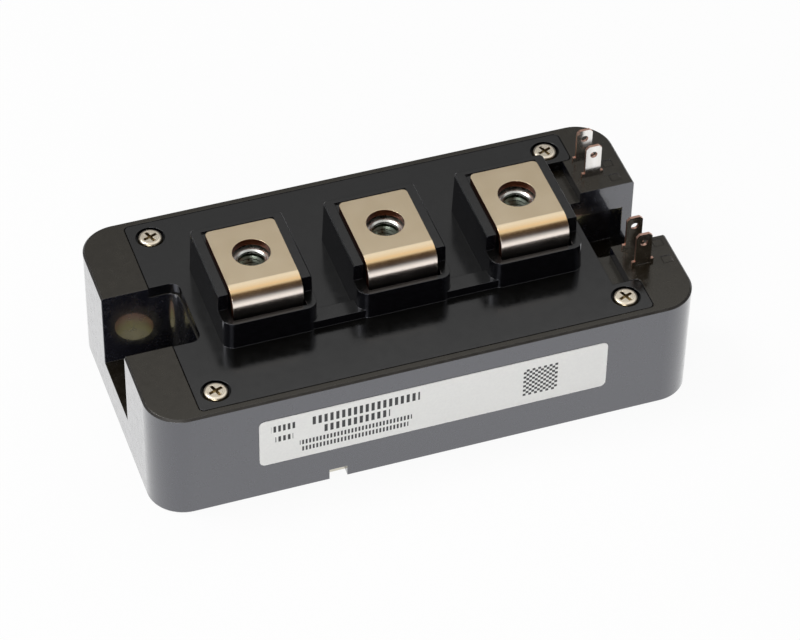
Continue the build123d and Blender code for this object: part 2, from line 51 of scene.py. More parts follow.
# %% [markdown]
# ## Five small helpers
#
# Colours are written as sRGB hex, the way a colour picker gives them, and Blender's shaders want
# linear values, so one function converts. A second one adds a node: its own settings by name, and
# a dictionary of inputs, each a number or the output that feeds it. A third starts a material
# with its Principled shader. The last two turn a grain's size into a texture's scale, so that
# every pattern is stated in millimetres, and put a finished material on the nodes it is for.

# %% Helpers for colours, nodes and materials
def linear(code):
    """sRGB hex such as '#c0ffee' to linear RGBA."""
    parts = [int(code[i:i + 2], 16) / 255 for i in (1, 3, 5)]
    return [*(p / 12.92 if p <= 0.04045 else ((p + 0.055) / 1.055) ** 2.4 for p in parts), 1.0]


def add(tree, kind, sockets=None, **settings):
    """One node with its settings, and its inputs given as values or as outputs to link."""
    node = tree.nodes.new(kind)
    for key, value in settings.items():
        setattr(node, key, value)
    for key, value in (sockets or {}).items():
        if isinstance(value, bpy.types.NodeSocket):
            tree.links.new(value, node.inputs[key])
        else:
            node.inputs[key].default_value = value
    return node


def surface(name, **values):
    """A new material with its Principled shader; underscores in a socket's name stand for spaces."""
    material = bpy.data.materials.new(name)
    material.use_nodes = True
    shader = material.node_tree.nodes["Principled BSDF"]
    for key, value in values.items():
        shader.inputs[key.replace("_", " ")].default_value = value
    return material, material.node_tree, shader


def per_mm(size):
    """Texture scale for a pattern whose grains are this many millimetres apart."""
    return 1 / (size * MM)


def dress(material, *names):
    """Gives a material to CAD nodes, in place of the plain one they came with."""
    for name in names:
        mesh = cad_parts[name].data
        mesh.materials.clear()
        mesh.materials.append(material)
    print(material.name, "on", ", ".join(names))


# %% [markdown]
# ## Case and lid: moulded black polyester with glass fibre
#
# Both are injection moulded in polished tools, so the skin is glossy, and almost no light comes
# back from the black itself. What the eye sees is the room in the skin: a dim grey on the tops,
# the pale floor on the walls. The resin's index is 1.5 to 1.6; matched to the picture it is 1.7.
#
# The case's upright walls mirror more than one layer can, so they have two: a sharp coat of pure
# resin, and under it the filled plastic with a wider, mottled gleam. The Z part of the normal
# tells wall from top, and the colours are painted by it: the walls a bluish black with a painted
# blue sheen, the case's tops a warm black and the lid's tops neutral, all painted light on one
# plastic. Moulded edges are never sharp, so the Bevel node bends the normals near an edge, and
# slanting rims, which hands and tools touch first, are scuffed rougher than the skin around them.

# %% Black plastic
RESIN_INDEX = 1.7
COAT_INDEX = 1.8
RIM_SLANT = 0.7
RIM_SCUFF = 0.3
BLUE_SHEEN = "#eaedff"


def moulding(name, wall, top, sheen, wall_coat, gloss_range, edge_mm):
    """Glossy black; pairs of shades for wall and top, painted by face direction; painted sheen tint of
    the tops; second layer of the walls.
    """
    plastic, tree, shader = surface(name, IOR=RESIN_INDEX, Coat_IOR=COAT_INDEX, Coat_Roughness=0.05)
    coords = add(tree, "ShaderNodeTexCoord")
    where = coords.outputs["Object"]
    parts = add(tree, "ShaderNodeSeparateXYZ", {"Vector": coords.outputs["Normal"]})
    upward = {"Value": parts.outputs["Z"], "From Min": 0.3, "From Max": 0.8}
    is_top = add(tree, "ShaderNodeMapRange", upward).outputs["Result"]
    fibres = add(tree, "ShaderNodeTexNoise", {"Vector": where, "Scale": per_mm(0.5), "Detail": 2.0})
    mottle = add(tree, "ShaderNodeTexNoise", {"Vector": where, "Scale": per_mm(1.3), "Detail": 4.0})
    patchy = mottle.outputs["Fac"]
    shades = []
    for dark, light in (wall, top):
        mixed = {0: patchy, 6: linear(dark), 7: linear(light)}
        shades.append(add(tree, "ShaderNodeMix", mixed, data_type="RGBA").outputs[2])
    # Painted light: the base colour is split by face direction, one tint for walls, another for tops.
    tone = add(tree, "ShaderNodeMix", {0: is_top, 6: shades[0], 7: shades[1]}, data_type="RGBA")
    # Painted reflection: the reflection is tinted blue on walls and takes the given sheen on tops.
    sheens = {0: is_top, 6: linear(BLUE_SHEEN), 7: linear(sheen)}
    tint = add(tree, "ShaderNodeMix", sheens, data_type="RGBA")
    smooth, dull = gloss_range
    patches = {"Value": patchy, "From Min": 0.3, "From Max": 0.7, "To Min": smooth, "To Max": dull}
    gleam = add(tree, "ShaderNodeMapRange", patches)
    off_rim = add(tree, "ShaderNodeMath", {0: parts.outputs["Z"], 1: RIM_SLANT}, operation="SUBTRACT")
    off_rim = add(tree, "ShaderNodeMath", {0: off_rim.outputs[0]}, operation="ABSOLUTE")
    off_rim = off_rim.outputs[0]
    near_rim = {"Value": off_rim, "From Min": 0.1, "From Max": 0.25, "To Min": RIM_SCUFF, "To Max": 0.0}
    scuff = add(tree, "ShaderNodeMapRange", near_rim)
    both = {0: gleam.outputs["Result"], 1: scuff.outputs["Result"]}
    gloss = add(tree, "ShaderNodeMath", both, operation="ADD")
    edge = add(tree, "ShaderNodeBevel", {"Radius": edge_mm * MM}, samples=6)
    fine = {"Height": fibres.outputs["Fac"], "Strength": 0.03, "Distance": 0.02 * MM}
    grain = add(tree, "ShaderNodeBump", {**fine, "Normal": edge.outputs["Normal"]})
    broad = {"Height": patchy, "Strength": 0.12, "Distance": 0.03 * MM}
    swell = add(tree, "ShaderNodeBump", {**broad, "Normal": grain.outputs["Normal"]})
    tree.links.new(tone.outputs[2], shader.inputs["Base Color"])
    tree.links.new(tint.outputs[2], shader.inputs["Specular Tint"])
    tree.links.new(gloss.outputs[0], shader.inputs["Roughness"])
    tree.links.new(swell.outputs["Normal"], shader.inputs["Normal"])
    if wall_coat:
        coat = add(tree, "ShaderNodeMapRange", {"Value": is_top, "To Min": wall_coat, "To Max": 0.0})
        tree.links.new(coat.outputs["Result"], shader.inputs["Coat Weight"])
        tree.links.new(swell.outputs["Normal"], shader.inputs["Coat Normal"])
    return plastic


# The wall and top pairs and the sheen are painted tints chosen by face direction.
case_skin = moulding(
    "polyester_glass_filled_case",
    wall=("#0c0d16", "#15161f"), top=("#14110b", "#1b1710"),
    sheen="#fffaef", wall_coat=1.0, gloss_range=(0.14, 0.30), edge_mm=0.2,
)
lid_skin = moulding(
    "polyester_glass_filled_lid",
    wall=("#050507", "#09090c"), top=("#080808", "#0d0d0c"),
    sheen="#ffffff", wall_coat=0.0, gloss_range=(0.13, 0.21), edge_mm=0.12,
)
dress(case_skin, "case_frame")
dress(lid_skin, "lid")

# %% [markdown]
# ## Main terminals: rolled copper with a matt tin plate
#
# The terminals are stamped from tin plated copper sheet, and the plate has warmed to a champagne
# tone. A metal has no diffuse colour, so the tone is the colour of its reflections. The plate is
# satin: flat parts mirror a wide piece of the room, and the fold draws it together into bands: a
# bright one for the lamp above, a brown one for the dark side of the room, and a white one for the
# pale strip and the floor in front. Where the fold starts an amber reflection is painted on, and
# further round the fold a paler painted reflection. The Z part of the normal picks both.
#
# The sheet was plated before it was punched, so its cut sides, its far end and the wall of its
# hole are bare, darkened copper. Sides are told by the X part of the normal. The end and the hole
# are upright too, but so is the leg below the fold, so height and distance from the fold count.

# %% Tin plated terminals
HOLE_BAND = 1.4 * MM
FOLD_DEPTH = 3.1 * MM
tin_plate, tree, shader = surface("copper_sheet_tin_plated", Metallic=1.0)
coords = add(tree, "ShaderNodeTexCoord")
where = coords.outputs["Object"]
place = add(tree, "ShaderNodeSeparateXYZ", {"Vector": where})
facing = add(tree, "ShaderNodeSeparateXYZ", {"Vector": coords.outputs["Normal"]})
low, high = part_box("terminal_middle")
sideways = add(tree, "ShaderNodeMath", {0: facing.outputs["X"]}, operation="ABSOLUTE")
side = add(tree, "ShaderNodeMath", {0: sideways.outputs[0], 1: 0.6}, operation="GREATER_THAN")
upright = add(tree, "ShaderNodeMath", {0: facing.outputs["Z"]}, operation="ABSOLUTE")
upright = add(tree, "ShaderNodeMath", {0: upright.outputs[0], 1: 0.5}, operation="LESS_THAN")
is_high = {0: place.outputs["Z"], 1: high.z - HOLE_BAND}
is_high = add(tree, "ShaderNodeMath", is_high, operation="GREATER_THAN")
is_far = {0: place.outputs["Y"], 1: low.y + FOLD_DEPTH}
is_far = add(tree, "ShaderNodeMath", is_far, operation="GREATER_THAN")
punched = {0: upright.outputs[0], 1: is_high.outputs[0]}
punched = add(tree, "ShaderNodeMath", punched, operation="MULTIPLY")
punched = {0: punched.outputs[0], 1: is_far.outputs[0]}
punched = add(tree, "ShaderNodeMath", punched, operation="MULTIPLY")
bare = {0: side.outputs[0], 1: punched.outputs[0]}
bare = add(tree, "ShaderNodeMath", bare, operation="MAXIMUM").outputs[0]
cloud = add(tree, "ShaderNodeTexNoise", {"Vector": where, "Scale": per_mm(3.5), "Detail": 3.0})
champagne = {0: cloud.outputs["Fac"], 6: linear("#eed8b4"), 7: linear("#f6e3c3")}
plated = add(tree, "ShaderNodeMix", champagne, data_type="RGBA").outputs[2]
# Painted reflection: where the fold starts the colour is painted more amber, picked by the normal's Z.
painted_amber_band = {"Value": facing.outputs["Z"], "From Min": 0.995, "From Max": 0.9}
painted_amber_band = add(tree, "ShaderNodeMapRange", painted_amber_band).outputs["Result"]
amber = {0: painted_amber_band, 6: plated, 7: linear("#f3cf9c")}
plated = add(tree, "ShaderNodeMix", amber, data_type="RGBA").outputs[2]
# Painted reflection: further round the fold the colour is painted paler, picked by the normal's Z.
painted_pale_band = {"Value": facing.outputs["Z"], "From Min": 0.75, "From Max": 0.55}
painted_pale_band = add(tree, "ShaderNodeMapRange", painted_pale_band).outputs["Result"]
pale = {0: painted_pale_band, 6: plated, 7: linear("#faeee4")}
plated = add(tree, "ShaderNodeMix", pale, data_type="RGBA").outputs[2]
tone = add(tree, "ShaderNodeMix", {0: bare, 6: plated, 7: linear("#6a3a26")}, data_type="RGBA")
cloud = cloud.outputs["Fac"]
patches = {"Value": cloud, "From Min": 0.3, "From Max": 0.7, "To Min": 0.22, "To Max": 0.26}
satin = add(tree, "ShaderNodeMapRange", patches)
rough = add(tree, "ShaderNodeMix", {0: bare, 2: satin.outputs["Result"], 3: 0.4})
drawn = add(tree, "ShaderNodeMapping", {"Vector": where, "Scale": (1.0, 0.05, 0.05)}).outputs["Vector"]
lines = add(tree, "ShaderNodeTexNoise", {"Vector": drawn, "Scale": per_mm(0.3), "Detail": 2.0})
edge = add(tree, "ShaderNodeBevel", {"Radius": 0.12 * MM}, samples=6)
fine = {"Height": lines.outputs["Fac"], "Strength": 0.04, "Distance": 0.01 * MM}
grain = add(tree, "ShaderNodeBump", {**fine, "Normal": edge.outputs["Normal"]})
tree.links.new(tone.outputs[2], shader.inputs["Base Color"])
tree.links.new(rough.outputs[0], shader.inputs["Roughness"])
tree.links.new(grain.outputs["Normal"], shader.inputs["Normal"])
dress(tin_plate, "terminal_left", "terminal_middle", "terminal_right")

# %% [markdown]
# ## Gate tabs: bright tin on the faces, bare metal on the stamped edges
#
# The blades are cut out of plated sheet, so only the two broad faces carry tin and every cut edge
# shows the reddish metal inside. The broad faces look along Y, so the Y part of the surface
# normal, in the object's own space, tells face from edge.
#
# Bright tin is nearly a mirror, so a blade shows what it looks at. The near pair stands straight,
# mirrors the case and looks black. The far pair has been bent back some nine degrees and turned a
# little, so that it mirrors the pale floor through the open notch and looks white. The solids
# stand straight, so the lean is given to the normals of the far pair's broad faces.

# %% Gate tabs
LEAN = (0.05, 0.0, 0.16)
blade_metal, tree, shader = surface("brass_sheet_tin_plated", Metallic=1.0)
coords = add(tree, "ShaderNodeTexCoord")
facing = add(tree, "ShaderNodeSeparateXYZ", {"Vector": coords.outputs["Normal"]})
across = add(tree, "ShaderNodeMath", {0: facing.outputs["Y"]}, operation="ABSOLUTE")
face = add(tree, "ShaderNodeMapRange", {"Value": across.outputs[0], "From Min": 0.5, "From Max": 0.8})
drawn = {"Vector": coords.outputs["Object"], "Scale": (1.0, 1.0, 0.1)}
drawn = add(tree, "ShaderNodeMapping", drawn).outputs["Vector"]
streak = add(tree, "ShaderNodeTexNoise", {"Vector": drawn, "Scale": per_mm(0.9), "Detail": 2.0})
bright_tin = {0: streak.outputs["Fac"], 6: linear("#e6e2dc"), 7: linear("#fbf9f7")}
plated = add(tree, "ShaderNodeMix", bright_tin, data_type="RGBA")
face_or_edge = {0: face.outputs["Result"], 6: linear("#cfa795"), 7: plated.outputs[2]}
tone = add(tree, "ShaderNodeMix", face_or_edge, data_type="RGBA")
rough = add(tree, "ShaderNodeMapRange", {"Value": face.outputs["Result"], "To Min": 0.4, "To Max": 0.16})
straight = add(tree, "ShaderNodeNewGeometry").outputs["Normal"]
depth = add(tree, "ShaderNodeSeparateXYZ", {"Vector": straight})
place = add(tree, "ShaderNodeSeparateXYZ", {"Vector": coords.outputs["Object"]})
is_far = add(tree, "ShaderNodeMath", {0: place.outputs["Y"], 1: 0.0}, operation="GREATER_THAN")
amount = add(tree, "ShaderNodeMath", {0: depth.outputs["Y"], 1: is_far.outputs[0]}, operation="MULTIPLY")
lean = add(tree, "ShaderNodeVectorMath", {0: LEAN, "Scale": amount.outputs[0]}, operation="SCALE")
bent = {0: straight, 1: lean.outputs["Vector"]}
bent = add(tree, "ShaderNodeVectorMath", bent, operation="SUBTRACT").outputs["Vector"]
leaning = add(tree, "ShaderNodeVectorMath", {0: bent}, operation="NORMALIZE")
tree.links.new(tone.outputs[2], shader.inputs["Base Color"])
tree.links.new(rough.outputs["Result"], shader.inputs["Roughness"])
tree.links.new(leaning.outputs["Vector"], shader.inputs["Normal"])
dress(blade_metal, "gate_tab_1", "gate_tab_2", "gate_tab_3", "gate_tab_4")

# %% [markdown]
# ## Nuts, screws and sleeves: zinc plated steel
#
# All three are turned or headed steel with a thin zinc plate. The screws keep a pale straw tint
# from their passivation, the sleeves in the bolt notches a stronger one that drifts between green
# and pink as the film's thickness changes, and the nuts deep in the lid look plain grey. Concentric
# tool marks are a ring wave about each screw's own middle, so each one reads its own position.
# A sleeve's end is faced smooth and stays dark, its bore is as drawn and catches the light.

# %% Zinc plated nuts
LAND_DEPTH = 0.6 * MM
nut_metal, tree, shader = surface("steel_zinc_plated", Metallic=1.0)
where = add(tree, "ShaderNodeTexCoord").outputs["Object"]
cloud = add(tree, "ShaderNodeTexNoise", {"Vector": where, "Scale": per_mm(1.1), "Detail": 3.0})
zinc = {0: cloud.outputs["Fac"], 6: linear("#cfd0ca"), 7: linear("#e6e6e0")}
tone = add(tree, "ShaderNodeMix", zinc, data_type="RGBA").outputs[2]
cloud = cloud.outputs["Fac"]
patches = {"Value": cloud, "From Min": 0.3, "From Max": 0.7, "To Min": 0.22, "To Max": 0.38}
rough = add(tree, "ShaderNodeMapRange", patches)
depth = add(tree, "ShaderNodeSeparateXYZ", {"Vector": where}).outputs["Z"]
low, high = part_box("nut_left")
land = high.z - LAND_DEPTH
# Painted shade: below the top land, down the bore, the nut is painted a dark olive.
painted_bore_shade = {"Value": depth, "From Min": land - 0.15 * MM, "From Max": land, "To Min": 1.0, "To Max": 0.0}
painted_bore_shade = add(tree, "ShaderNodeMapRange", painted_bore_shade).outputs["Result"]
tone = add(tree, "ShaderNodeMix", {0: painted_bore_shade, 6: tone, 7: linear("#59664f")}, data_type="RGBA")
tree.links.new(tone.outputs[2], shader.inputs["Base Color"])
tree.links.new(rough.outputs["Result"], shader.inputs["Roughness"])
dress(nut_metal, "nut_left", "nut_middle", "nut_right")

# %% Straw coloured screws, one material each for its own centre
HEAD_SKIN = 0.1 * MM
for number in range(1, 5):
    low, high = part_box(f"lid_screw_{number}")
    middle = (low + high) / 2
    screw_metal, tree, shader = surface(f"steel_straw_passivated_{number}", Metallic=1.0)
    where = add(tree, "ShaderNodeTexCoord").outputs["Object"]
    local = {"Vector": where, "Location": (-middle.x, -middle.y, 0.0)}
    local = add(tree, "ShaderNodeMapping", local).outputs["Vector"]
    wave = {"Vector": local, "Scale": per_mm(0.9), "Distortion": 0.6}
    rings = add(tree, "ShaderNodeTexWave", wave, wave_type="RINGS", rings_direction="Z")
    cloud = add(tree, "ShaderNodeTexNoise", {"Vector": where, "Scale": per_mm(0.8), "Detail": 2.0})
    straw = {0: cloud.outputs["Fac"], 6: linear("#eee1c9"), 7: linear("#fcf2e0")}
    tone = add(tree, "ShaderNodeMix", straw, data_type="RGBA").outputs[2]
    ring = rings.outputs["Fac"]
    rough = add(tree, "ShaderNodeMapRange", {"Value": ring, "To Min": 0.26, "To Max": 0.4})
    depth = add(tree, "ShaderNodeSeparateXYZ", {"Vector": where}).outputs["Z"]
    skin = high.z - HEAD_SKIN
    # Chromate residue and painted shade: below the head's skin the cross recess is painted darker.
    residue_and_painted_shade = {"Value": depth, "From Min": skin - 0.2 * MM, "From Max": skin, "To Min": 1.0, "To Max": 0.0}
    residue_and_painted_shade = add(tree, "ShaderNodeMapRange", residue_and_painted_shade).outputs["Result"]
    tone = add(tree, "ShaderNodeMix", {0: residue_and_painted_shade, 6: tone, 7: linear("#968768")}, data_type="RGBA")
    edge = add(tree, "ShaderNodeBevel", {"Radius": 0.1 * MM}, samples=4)
    fine = {"Height": ring, "Strength": 0.15, "Distance": 0.01 * MM}
    turned = add(tree, "ShaderNodeBump", {**fine, "Normal": edge.outputs["Normal"]})
    tree.links.new(tone.outputs[2], shader.inputs["Base Color"])
    tree.links.new(rough.outputs["Result"], shader.inputs["Roughness"])
    tree.links.new(turned.outputs["Normal"], shader.inputs["Normal"])
    dress(screw_metal, f"lid_screw_{number}")

# %% Yellow passivated sleeves
sleeve_metal, tree, shader = surface("steel_yellow_passivated", Metallic=1.0)
coords = add(tree, "ShaderNodeTexCoord")
low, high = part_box("sleeve_left")
place = add(tree, "ShaderNodeSeparateXYZ", {"Vector": coords.outputs["Object"]})
film = {"Vector": coords.outputs["Object"], "Scale": per_mm(3.0), "Detail": 1.0}
film = add(tree, "ShaderNodeTexNoise", film)
height = {"Value": place.outputs["Z"], "From Min": low.z, "From Max": high.z}
height = add(tree, "ShaderNodeMapRange", height)
drift = add(tree, "ShaderNodeMix", {0: 0.4, 2: height.outputs["Result"], 3: film.outputs["Fac"]})
ramp = add(tree, "ShaderNodeValToRGB", {"Fac": drift.outputs[0]})
ramp.color_ramp.elements[0].position = 0.35
ramp.color_ramp.elements[0].color = linear("#e9e2a6")
ramp.color_ramp.elements[1].position = 0.7
ramp.color_ramp.elements[1].color = linear("#f4c9c0")
facing = add(tree, "ShaderNodeSeparateXYZ", {"Vector": coords.outputs["Normal"]})
upward = {"Value": facing.outputs["Z"], "From Min": 0.3, "From Max": 0.8}
end_face = add(tree, "ShaderNodeMapRange", upward).outputs["Result"]
bore_or_end = {0: end_face, 6: ramp.outputs["Color"], 7: linear("#9d9880")}
tone = add(tree, "ShaderNodeMix", bore_or_end, data_type="RGBA")
rough = add(tree, "ShaderNodeMapRange", {"Value": end_face, "To Min": 0.45, "To Max": 0.1})
tree.links.new(tone.outputs[2], shader.inputs["Base Color"])
tree.links.new(rough.outputs["Result"], shader.inputs["Roughness"])
dress(sleeve_metal, "sleeve_left", "sleeve_right")

# %% [markdown]
# ## Base plate: copper under satin nickel
#
# Only its edge and the two bolt holes show, but the part can be turned over, so the underside is
# finished too. Nickel is a slightly yellow white metal. The plate is lapped flat in one direction,
# which leaves fine straight lines along X. The plating goes thin and dull inside the two bores, and
# there a yellow tint is painted in for the olive of the sleeves above, a painted reflection.

# %% Nickel plated base plate
BORE_REACH = 3.3 * MM
nickel, tree, shader = surface("copper_nickel_plated", Metallic=1.0)
where = add(tree, "ShaderNodeTexCoord").outputs["Object"]
drawn = add(tree, "ShaderNodeMapping", {"Vector": where, "Scale": (0.02, 1.0, 1.0)}).outputs["Vector"]
lines = add(tree, "ShaderNodeTexNoise", {"Vector": drawn, "Scale": per_mm(0.25), "Detail": 3.0})
satin_nickel = {0: lines.outputs["Fac"], 6: linear("#c8c3b6"), 7: linear("#dcd8cc")}
tone = add(tree, "ShaderNodeMix", satin_nickel, data_type="RGBA").outputs[2]
lines = lines.outputs["Fac"]
strokes = {"Value": lines, "From Min": 0.3, "From Max": 0.7, "To Min": 0.24, "To Max": 0.4}
rough = add(tree, "ShaderNodeMapRange", strokes)
place = add(tree, "ShaderNodeSeparateXYZ", {"Vector": where})
low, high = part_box("sleeve_right")
bolt_x = (low.x + high.x) / 2
along = add(tree, "ShaderNodeMath", {0: place.outputs["X"]}, operation="ABSOLUTE")
along = add(tree, "ShaderNodeMath", {0: along.outputs[0], 1: bolt_x}, operation="SUBTRACT")
flat = add(tree, "ShaderNodeCombineXYZ", {"X": along.outputs[0], "Y": place.outputs["Y"]})
reach = add(tree, "ShaderNodeVectorMath", {0: flat.outputs["Vector"]}, operation="LENGTH")
bore = add(tree, "ShaderNodeMath", {0: reach.outputs["Value"], 1: BORE_REACH}, operation="LESS_THAN")
bore = bore.outputs[0]
# Painted reflection: in the bores the colour is tinted yellow for the sleeves above; the dull, thin
# plating is the rougher value.
tone = add(tree, "ShaderNodeMix", {0: bore, 6: tone, 7: linear("#e6dcae")}, data_type="RGBA")
rough = add(tree, "ShaderNodeMix", {0: bore, 2: rough.outputs["Result"], 3: 0.45})
tree.links.new(tone.outputs[2], shader.inputs["Base Color"])
tree.links.new(rough.outputs[0], shader.inputs["Roughness"])
dress(nickel, "base_plate")

# %% [markdown]
# ## Label: white polyester film with plain printed marks
#
# The label is blank film with generic marks: rows of upright blocks where lines of print would
# sit, and a plain chequered square. Each mark is a rectangle in the label's own plane, X along it
# and Z up, so a short function turns a centre and a size into a mask: 1 where both distances are
# inside. A row is one such rectangle cut by a stripe that repeats at its own pitch.

# %% Label film and its marks
label_film, tree, shader = surface("polyester_film_printed", IOR=1.5, Roughness=0.38)
where = add(tree, "ShaderNodeTexCoord").outputs["Object"]
low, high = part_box("label")
local = add(tree, "ShaderNodeVectorMath", {0: where, 1: low}, operation="SUBTRACT")
parts = add(tree, "ShaderNodeSeparateXYZ", {"Vector": local.outputs["Vector"]})


def mark(x, z, half_x, half_z):
    """Mask of a rectangle, its centre in millimetres from the label's lower left corner."""
    sides = []
    for output, centre, half in (("X", x * MM, half_x * MM), ("Z", z * MM, half_z * MM)):
        off = add(tree, "ShaderNodeMath", {0: parts.outputs[output], 1: centre}, operation="SUBTRACT")
        off = add(tree, "ShaderNodeMath", {0: off.outputs[0]}, operation="ABSOLUTE")
        inside = add(tree, "ShaderNodeMath", {0: off.outputs[0], 1: half}, operation="LESS_THAN")
        sides.append(inside.outputs[0])
    both = {0: sides[0], 1: sides[1]}
    return add(tree, "ShaderNodeMath", both, operation="MULTIPLY").outputs[0]


def row(x, z, half_x, half_z, pitch):
    """Mask of a row of upright blocks, one every pitch millimetres."""
    step = add(tree, "ShaderNodeMath", {0: parts.outputs["X"], 1: pitch * MM}, operation="DIVIDE")
    step = add(tree, "ShaderNodeMath", {0: step.outputs[0]}, operation="FRACT")
    block = add(tree, "ShaderNodeMath", {0: step.outputs[0], 1: INKED_SHARE}, operation="LESS_THAN")
    both = {0: mark(x, z, half_x, half_z), 1: block.outputs[0]}
    return add(tree, "ShaderNodeMath", both, operation="MULTIPLY").outputs[0]


# Rows: centre x and z, half width, half height and pitch, all in millimetres.
INKED_SHARE = 0.55
ROWS = [
    (4.2, 7.8, 2.2, 0.7, 0.8), (4.2, 5.4, 1.5, 0.6, 0.8),
    (18.1, 7.8, 9.2, 0.9, 1.0), (16.6, 5.5, 5.6, 0.8, 1.0),
    (16.4, 3.4, 9.6, 0.5, 0.6), (16.2, 1.9, 9.2, 0.5, 0.6),
]
SQUARE = (48.3, 5.0, 3.0, 3.0)
CELL_MM = 0.5
ink = 0.0
for place in ROWS:
    ink = add(tree, "ShaderNodeMath", {0: ink, 1: row(*place)}, operation="MAXIMUM").outputs[0]
mid_cell = (0.2 * MM, 0.25 * MM, 0.0)
shifted = add(tree, "ShaderNodeVectorMath", {0: local.outputs["Vector"], 1: mid_cell}, operation="ADD")
cells = {"Vector": shifted.outputs["Vector"], "Scale": per_mm(CELL_MM)}
chequer = add(tree, "ShaderNodeTexChecker", cells).outputs["Fac"]
square = add(tree, "ShaderNodeMath", {0: mark(*SQUARE), 1: chequer}, operation="MULTIPLY")
ink = add(tree, "ShaderNodeMath", {0: ink, 1: square.outputs[0]}, operation="MAXIMUM").outputs[0]
speckle = add(tree, "ShaderNodeTexNoise", {"Vector": where, "Scale": per_mm(0.5), "Detail": 2.0})
off_white = {0: speckle.outputs["Fac"], 6: linear("#e6e6e4"), 7: linear("#f0f0ed")}
film_tone = add(tree, "ShaderNodeMix", off_white, data_type="RGBA").outputs[2]
tone = add(tree, "ShaderNodeMix", {0: ink, 6: film_tone, 7: linear("#2c2c2e")}, data_type="RGBA")
tree.links.new(tone.outputs[2], shader.inputs["Base Color"])
dress(label_film, "label")
print("rows of marks on the label:", len(ROWS))

# %% [markdown]
# ## What the case holds
#
# Nobody sees these pieces unless the lid comes off, but each one is a real material and gets its
# own finish: bare copper, dull solder, matt alumina, dies with a metallised top, bright aluminium
# bonds, and the clear gel that is poured over all of them. A weak noise at the scale of each
# surface's grain is enough. Each row below gives a name, how metallic and how rough it is, two
# shades, the size of its grain in millimetres and its nodes.

# %% Inner materials
COPPER = [
    "link_strap", "lower_copper_left", "lower_copper_right",
    "upper_copper_left", "upper_copper_right",
]
DIES = ["igbt_dies_left", "igbt_dies_right", "diode_dies_left", "diode_dies_right"]
BONDS = ["bond_ribbons_left", "bond_ribbons_right", "gate_wires"]
INNER = [
    ("copper_bare_rolled", 1.0, 0.3, "#d9a084", "#e6b195", 0.8, COPPER),
    ("solder_reflowed", 1.0, 0.42, "#a9aaac", "#c2c3c4", 0.6, ["solder_left", "solder_right"]),
    ("alumina_sintered", 0.0, 0.6, "#e2dfd8", "#efece6", 0.3, ["ceramic_left", "ceramic_right"]),
    ("silicon_die_metallised", 1.0, 0.25, "#8b8a93", "#a09fa8", 0.5, DIES),
    ("aluminium_bond_drawn", 1.0, 0.2, "#dcdcdc", "#ececec", 0.4, BONDS),
    ("silicone_cured", 0.0, 0.45, "#cfcfcb", "#dadad6", 0.5, ["seal_bead"]),
]
for name, metallic, roughness, dark, light, grain_mm, nodes in INNER:
    inner, tree, shader = surface(name, Metallic=metallic, Roughness=roughness)
    where = add(tree, "ShaderNodeTexCoord").outputs["Object"]
    noise = {"Vector": where, "Scale": per_mm(grain_mm), "Detail": 3.0}
    noise = add(tree, "ShaderNodeTexNoise", noise).outputs["Fac"]
    tone = add(tree, "ShaderNodeMix", {0: noise, 6: linear(dark), 7: linear(light)}, data_type="RGBA")
    bump = add(tree, "ShaderNodeBump", {"Height": noise, "Strength": 0.2, "Distance": 0.02 * MM})
    tree.links.new(tone.outputs[2], shader.inputs["Base Color"])
    tree.links.new(bump.outputs["Normal"], shader.inputs["Normal"])
    dress(inner, *nodes)

# %% Clear gel
gel, tree, shader = surface("silicone_gel_clear", IOR=1.41, Roughness=0.08, Transmission_Weight=0.9)
where = add(tree, "ShaderNodeTexCoord").outputs["Object"]
noise = add(tree, "ShaderNodeTexNoise", {"Vector": where, "Scale": per_mm(6.0), "Detail": 1.0})
clear = {0: noise.outputs["Fac"], 6: linear("#eceee8"), 7: linear("#f6f7f4")}
tone = add(tree, "ShaderNodeMix", clear, data_type="RGBA")
tree.links.new(tone.outputs[2], shader.inputs["Base Color"])
dress(gel, "silicone_gel")

# %% [markdown]
# ## Threads in the nuts
#
# Through each terminal's hole the eye finds the bright rings of an M5 thread. The solid nut has a
# plain wall at the thread's middle radius, so the thread is added here: a ridge of triangular
# section swept along a helix of 0.8 mm pitch. A screw modifier could sweep it, but writing the
# rows of vertices keeps both ends closed and the count small. Above it a nut has a shallow funnel
# for the screw's tip. Its slope looks up at the lamp and is the bright crescent in each hole.

# %% Oiled thread metal
thread_metal, tree, shader = surface("steel_thread_oiled", Metallic=1.0)
coords = add(tree, "ShaderNodeTexCoord")
film = {"Vector": coords.outputs["Object"], "Scale": per_mm(0.4), "Detail": 2.0}
film = add(tree, "ShaderNodeTexNoise", film).outputs["Fac"]
oiled = {0: film, 6: linear("#8d9a89"), 7: linear("#b7c1b4")}
tone = add(tree, "ShaderNodeMix", oiled, data_type="RGBA")
rough = add(tree, "ShaderNodeMapRange", {"Value": film, "To Min": 0.2, "To Max": 0.4})
tree.links.new(tone.outputs[2], shader.inputs["Base Color"])
tree.links.new(rough.outputs["Result"], shader.inputs["Roughness"])

# %% One helical ridge per nut
THREAD_PITCH = 0.8
WALL_R = 2.25
CREST_R = 1.95
ROOT_INTO_WALL = 0.03
STEPS = 36


